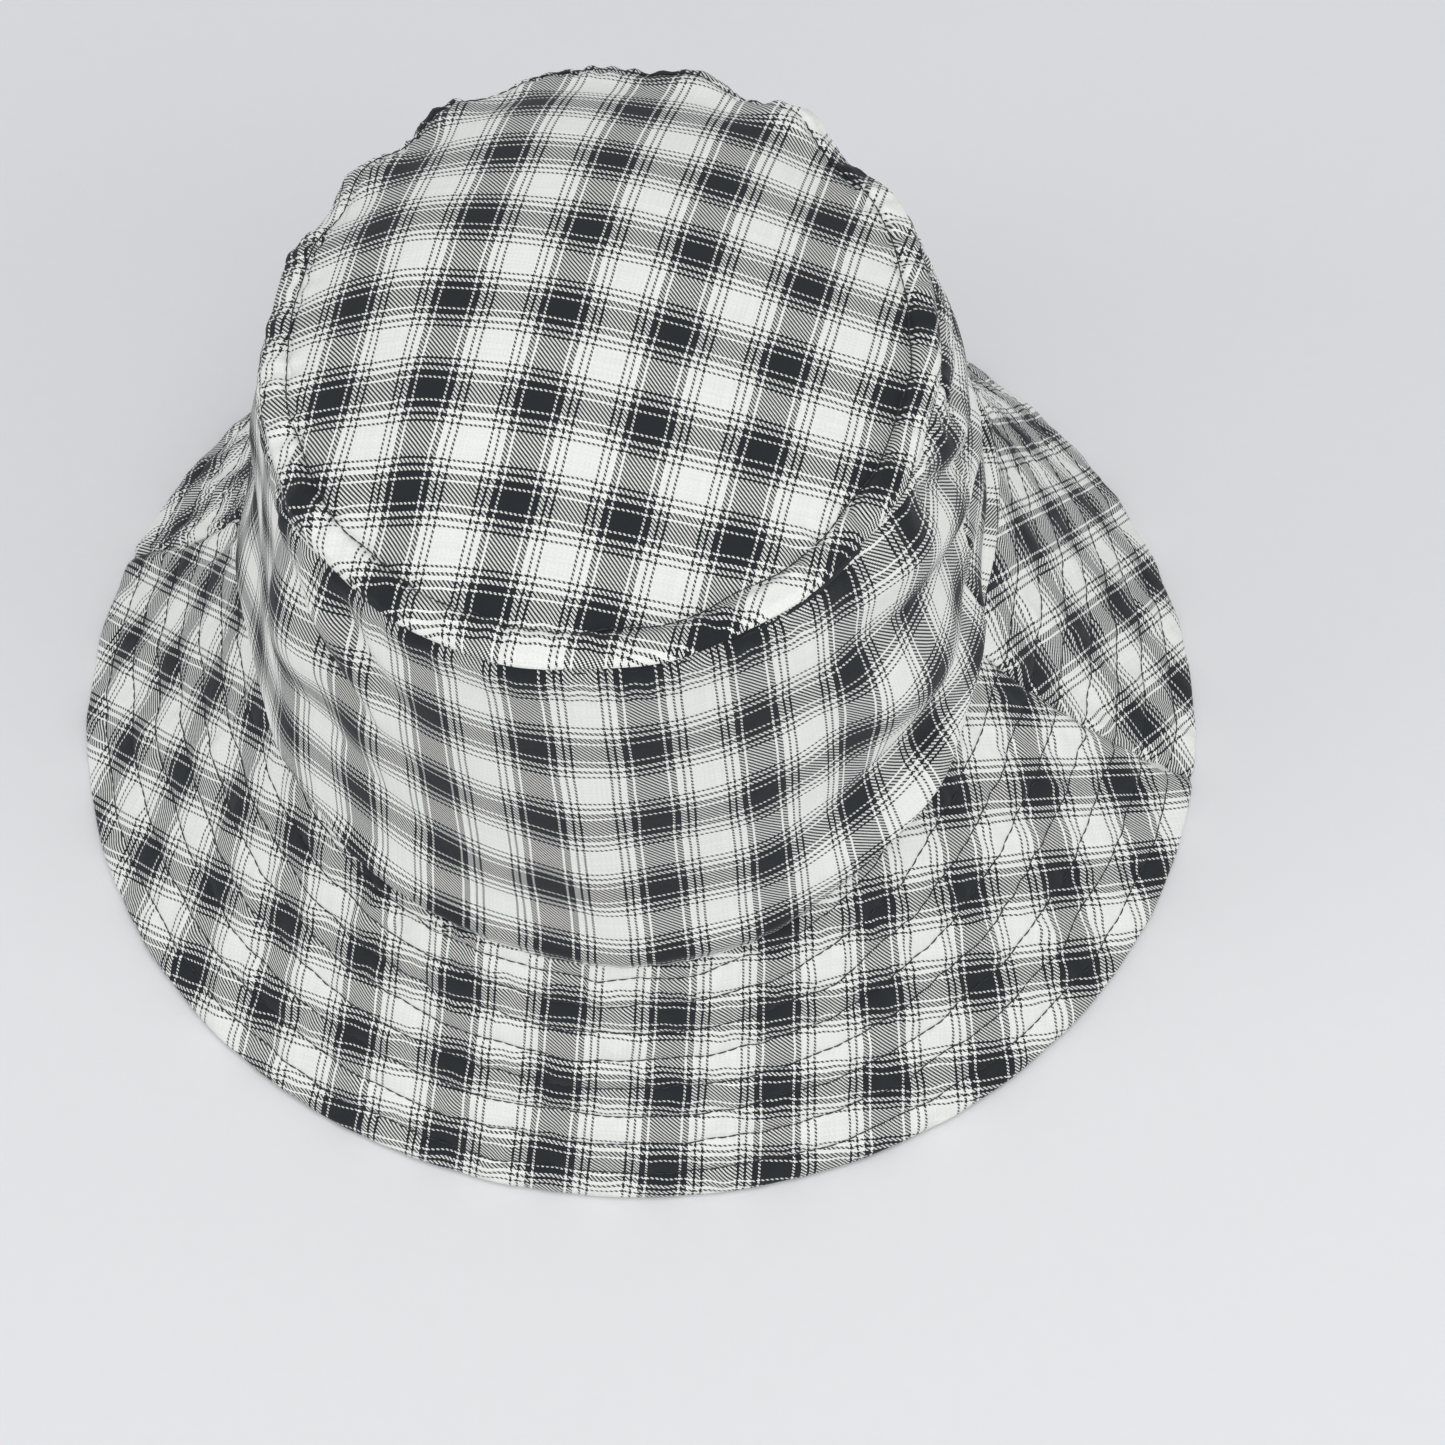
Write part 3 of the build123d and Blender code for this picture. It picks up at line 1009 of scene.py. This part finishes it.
brim_sides = {"top": brim_top(), "under": brim_under()}
for half in HALVES:
    for side, (share, points) in brim_sides.items():
        columns = points.shape[1]
        share = share[:, half_columns(columns, half)]
        points = points[:, half_columns(columns, half)]
        uvs = brim_cloth(crept(half_angles(columns, half) + 0 * share, share), share,
                         BRIM_PANELS[half])
        if side == "under":
            points, uvs = points[::-1], uvs[::-1]
        node = f"brim_{side}_{half}"
        pieces[node] = shell(f"{node}_cloth", points, uvs, PLY, plaid)

core = brim_point(*closed_grid(CORE_COLUMNS, np.linspace(CORE_END, 0, CORE_ROWS)))
core = core - normals(core, True) * CORE_INSET
for half in HALVES:
    part = core[:, half_columns(CORE_COLUMNS, half)]
    node = f"brim_interlining_{half}"
    pieces[node] = shell(f"{node}_sheet", part, plain_uvs(part), LINING_PLY, interlining)


# Stitching

row_theta = np.arange(LINE_STEPS) / LINE_STEPS * FULL
for row in range(ROWS):
    at = ROW_AT[row] + row_wander(row_theta, row)
    angle = crept(row_theta, at)
    out = brim_normal(angle)
    line = brim_point(angle, at) + out * brim_waves(row_theta, at)[:, None]
    node = f"brim_stitch_row_{row + 1}"
    pieces[node] = thread_row(f"{node}_thread", line, out, thread)


def tip_stitch():
    """The row on the top panel, on a narrow strip of it that gives the row's normals."""
    theta, radius = np.meshgrid(row_theta, TIP_ROW + np.array([0.01, 0.0, -0.01]))
    strip = tip_point(theta, radius + 0.003 * waves(theta, 130, 5, 30, 8))
    out = normals(strip, True)[1]
    lift = 0.35 + back_roll(row_theta, TIP_ROW)
    line = strip[1] + rim_push(row_theta, tip_reach(TIP_ROW)) + out * lift[:, None]
    return thread_row("tip_topstitch_thread", line, out, thread)


pieces["tip_topstitch"] = tip_stitch()


# Labels

LABEL_GRID = 24
TAPE_PLY = 0.35
CARE_LABEL_BOW = 0.6
SIZE_LABEL_BOW = 0.2


def label(name, node, bow=0.0):
    """A thin tape in the place of its CAD node; the size label lies aslant on the sweatband."""
    low, high = (np.array(corner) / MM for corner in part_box(node))
    x, z = np.meshgrid(np.linspace(low[0], high[0], LABEL_GRID),
                       np.linspace(low[2], high[2], LABEL_GRID))
    t = (x - low[0]) / (high[0] - low[0])
    s = (z - low[2]) / (high[2] - low[2])
    if node == "size_label":
        y = between(high[1], low[1], t) + bow * np.sin(math.pi * s)
    else:
        y = low[1] + bow * (1 - s) * np.sin(math.pi * t)
    return shell(name, np.stack([x, y, z], -1), np.stack([t, s], -1),
                 -TAPE_PLY if node == "size_label" else TAPE_PLY, label_tape)


pieces["care_label"] = label("care_label_tape", "care_label", CARE_LABEL_BOW)
pieces["care_label_end"] = label("care_label_end_tape", "care_label_end")
pieces["size_label"] = label("size_label_tape", "size_label", SIZE_LABEL_BOW)


# What stands for what

for node, piece in pieces.items():
    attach(piece, "label_flap" if node == "care_label" else "hat")
    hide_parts(node)


# Camera

CAMERA_AT = Vector((7.54, -352.16, 647.7)) * MM
AIM = Vector((20.35, -7.01, 0.0)) * MM
ROLL = math.radians(1.88)
forward = (AIM - CAMERA_AT).normalized()
right = forward.cross(Vector((0, 0, 1))).normalized()
up = right.cross(forward)
right, up = (right * math.cos(ROLL) + up * math.sin(ROLL),
             up * math.cos(ROLL) - right * math.sin(ROLL))
camera_data = bpy.data.cameras.new("camera")
camera_data.lens = 71.21
camera_data.sensor_width = 36.0
camera_data.clip_start = 0.01
camera = bpy.data.objects.new("camera", camera_data)
camera.matrix_world = Matrix((
    (right.x, up.x, -forward.x, CAMERA_AT.x),
    (right.y, up.y, -forward.y, CAMERA_AT.y),
    (right.z, up.z, -forward.z, CAMERA_AT.z),
    (0, 0, 0, 1)))
bpy.context.scene.collection.objects.link(camera)
bpy.context.scene.camera = camera


# Floor and light

FLOOR = 20000.0
FLOOR_Z = -1.5
PAPER = (0.74, 0.743, 0.75, 1)
# place, aim and size in metres, and power
LIGHTS = {"overhead": ((0.1, -0.25, 1.5), (0, 0, 0.08), 1.0, 7.4),
          "right": ((0.9, -0.6, 0.8), (0.2, -0.1, 0), 0.8, 3.25),
          "left": ((-1.2, -0.5, 0.8), (-0.1, 0, 0), 0.8, 4.1),
          "front": ((0.0, -1.3, 0.7), (0, -0.1, 0.05), 1.0, 1.85)}
ROOM = (0.93, 0.96, 1.0, 1)
ROOM_LIGHT = 0.537

corners = [[x * FLOOR, y * FLOOR, FLOOR_Z] for x, y in ((-1, -1), (1, -1), (1, 1), (-1, 1))]
floor = to_object("floor", corners, [[0, 1, 2, 3]])
paper = Nodes("floor_paper")
grain = paper.add("ShaderNodeTexNoise", Vector=paper.add("ShaderNodeTexCoord", output=3), Scale=300.0)
grain_level = paper.math("MULTIPLY_ADD", grain, 0.02, 0.99)
floor.data.materials.append(paper.finish(paper.mix(1.0, PAPER, grain_level, "MULTIPLY"),
                                         0.7, grain, 0.0001, 0.1))

for name, (place, aim, size, power) in LIGHTS.items():
    data = bpy.data.lights.new(name, "AREA")
    data.shape = "DISK"
    data.size = size
    data.energy = power
    light = bpy.data.objects.new(name, data)
    light.location = place
    light.rotation_euler = (Vector(aim) - Vector(place)).to_track_quat("-Z", "Y").to_euler()
    bpy.context.scene.collection.objects.link(light)
world = bpy.data.worlds.new("room")
world.use_nodes = True
world.node_tree.nodes["Background"].inputs[0].default_value = ROOM
world.node_tree.nodes["Background"].inputs[1].default_value = ROOM_LIGHT
bpy.context.scene.world = world
bpy.context.scene.view_settings.view_transform = "Standard"

bpy.context.view_layer.update()
